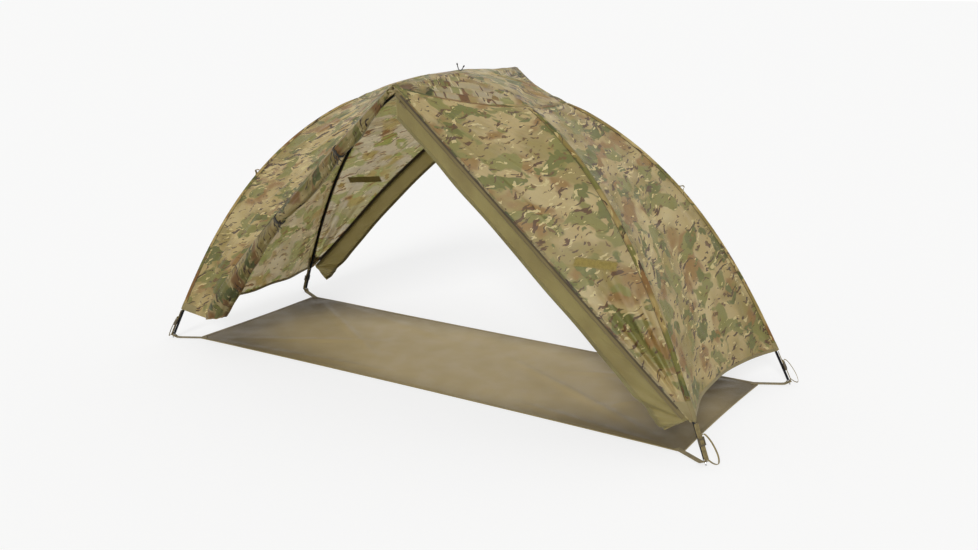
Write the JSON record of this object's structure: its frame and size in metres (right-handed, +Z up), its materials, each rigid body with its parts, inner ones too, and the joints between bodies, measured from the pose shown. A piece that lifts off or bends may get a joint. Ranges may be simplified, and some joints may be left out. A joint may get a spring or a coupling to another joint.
{
  "type": "bivvy tent",
  "caption": "Low arched bivvy tent: crossing pole arches carry a camouflage fly with rolled doors and storm flaps over a strapped groundsheet.",
  "frame": {"origin": "middle of the groundsheet's underside, on the ground", "axes": "+X along the bed from the front-left corner to the front-right one, +Y from the front door to the back door, +Z up"},
  "size_m": [2.3628, 0.9186, 1.1236],
  "materials": {
    "fly_cloth": "matte",
    "flap_cloth": "matte",
    "groundsheet_cloth": "satin",
    "webbing": "matte",
    "olive_tape": "matte",
    "pole": "satin",
    "steel": "satin",
    "plastic": "satin",
    "zip": "satin",
    "cord": "matte"
  },
  "bodies": {
    "frame": {"low_arch_section_1": "pole", "low_arch_section_2": "pole", "low_arch_section_3": "pole", "low_arch_section_4": "pole", "low_arch_section_5": "pole", "low_arch_shock_cord": "cord", "high_arch_section_1": "pole", "high_arch_section_2": "pole", "high_arch_section_3": "pole", "high_arch_section_4": "pole", "high_arch_section_5": "pole", "high_arch_shock_cord": "cord", "brow_pole_front_section": "pole", "brow_pole_back_section": "pole", "fly_top_cap": "fly_cloth", "fly_panel_left_end": "fly_cloth", "fly_panel_right_end": "fly_cloth", "fly_panel_front_right": "fly_cloth", "fly_panel_front_left": "fly_cloth", "rolled_door_front": "fly_cloth", "storm_flap_front": "flap_cloth", "zip_tape_front": "zip", "olive_tape_front": "olive_tape", "fly_panel_back_left": "fly_cloth", "fly_panel_back_right": "fly_cloth", "rolled_door_back": "fly_cloth", "storm_flap_back": "flap_cloth", "zip_tape_back": "zip", "olive_tape_back": "olive_tape", "groundsheet": "groundsheet_cloth", "pole_tip_front_left": "steel", "groundsheet_strap_front_left": "webbing", "corner_strap_front_left": "webbing", "fly_corner_tab_front_left": "webbing", "pole_tip_back_right": "steel", "groundsheet_strap_back_right": "webbing", "corner_strap_back_right": "webbing", "fly_corner_tab_back_right": "webbing", "pole_tip_back_left": "steel", "groundsheet_strap_back_left": "webbing", "corner_strap_back_left": "webbing", "fly_corner_tab_back_left": "webbing", "pole_tip_front_right": "steel", "groundsheet_strap_front_right": "webbing", "corner_strap_front_right": "webbing", "fly_corner_tab_front_right": "webbing", "top_tie": "cord"},
    "zip_slider_front": {"zip_slider_front": "zip"},
    "zip_pull_front": {"zip_pull_front": "zip"},
    "roll_toggle_front_1": {"roll_toggle_front_1": "plastic"},
    "roll_toggle_front_2": {"roll_toggle_front_2": "plastic"},
    "zip_slider_back": {"zip_slider_back": "zip"},
    "zip_pull_back": {"zip_pull_back": "zip"},
    "roll_toggle_back_1": {"roll_toggle_back_1": "plastic"},
    "roll_toggle_back_2": {"roll_toggle_back_2": "plastic"},
    "corner_lock_front_left": {"corner_lock_front_left": "plastic"},
    "corner_lock_back_right": {"corner_lock_back_right": "plastic"},
    "corner_lock_back_left": {"corner_lock_back_left": "plastic"},
    "corner_lock_front_right": {"corner_lock_front_right": "plastic"}
  },
  "joints": [
    {"name": "zip_slider_front_run", "type": "slide", "parent": "frame", "child": "zip_slider_front", "axis": [0.7552, 0, -0.6555], "range_m": [0, 1.34]},
    {"name": "zip_pull_front_swing", "type": "hinge", "parent": "zip_slider_front", "child": "zip_pull_front", "pos_m": [0.03441, -0.41055, 1.0257], "axis": [-0.6555, 0, -0.7552], "range_deg": [0, 170]},
    {"name": "roll_toggle_front_1_turn", "type": "hinge", "parent": "frame", "child": "roll_toggle_front_1", "pos_m": [-0.23126, -0.41081, 0.83965], "axis": [0, 1, 0], "range_deg": [-60, 60]},
    {"name": "roll_toggle_front_2_turn", "type": "hinge", "parent": "frame", "child": "roll_toggle_front_2", "pos_m": [-0.52574, -0.40995, 0.5666], "axis": [0, 1, 0], "range_deg": [-60, 60]},
    {"name": "zip_slider_back_run", "type": "slide", "parent": "frame", "child": "zip_slider_back", "axis": [-0.7552, 0, -0.6555], "range_m": [0, 1.34]},
    {"name": "zip_pull_back_swing", "type": "hinge", "parent": "zip_slider_back", "child": "zip_pull_back", "pos_m": [-0.03441, 0.41055, 1.0257], "axis": [0.6555, 0, -0.7552], "range_deg": [0, 170]},
    {"name": "roll_toggle_back_1_turn", "type": "hinge", "parent": "frame", "child": "roll_toggle_back_1", "pos_m": [0.23126, 0.41081, 0.83965], "axis": [0, 1, 0], "range_deg": [-60, 60]},
    {"name": "roll_toggle_back_2_turn", "type": "hinge", "parent": "frame", "child": "roll_toggle_back_2", "pos_m": [0.52574, 0.40995, 0.5666], "axis": [0, 1, 0], "range_deg": [-60, 60]},
    {"name": "corner_lock_front_left_run", "type": "slide", "parent": "frame", "child": "corner_lock_front_left", "axis": [-0.3978, -0.1398, -0.9067], "range_m": [0, 0.02]},
    {"name": "corner_lock_back_right_run", "type": "slide", "parent": "frame", "child": "corner_lock_back_right", "axis": [0.3978, 0.1398, -0.9067], "range_m": [0, 0.02]},
    {"name": "corner_lock_back_left_run", "type": "slide", "parent": "frame", "child": "corner_lock_back_left", "axis": [-0.3951, 0.1388, -0.9081], "range_m": [0, 0.02]},
    {"name": "corner_lock_front_right_run", "type": "slide", "parent": "frame", "child": "corner_lock_front_right", "axis": [0.3951, -0.1388, -0.9081], "range_m": [0, 0.02]}
  ]
}
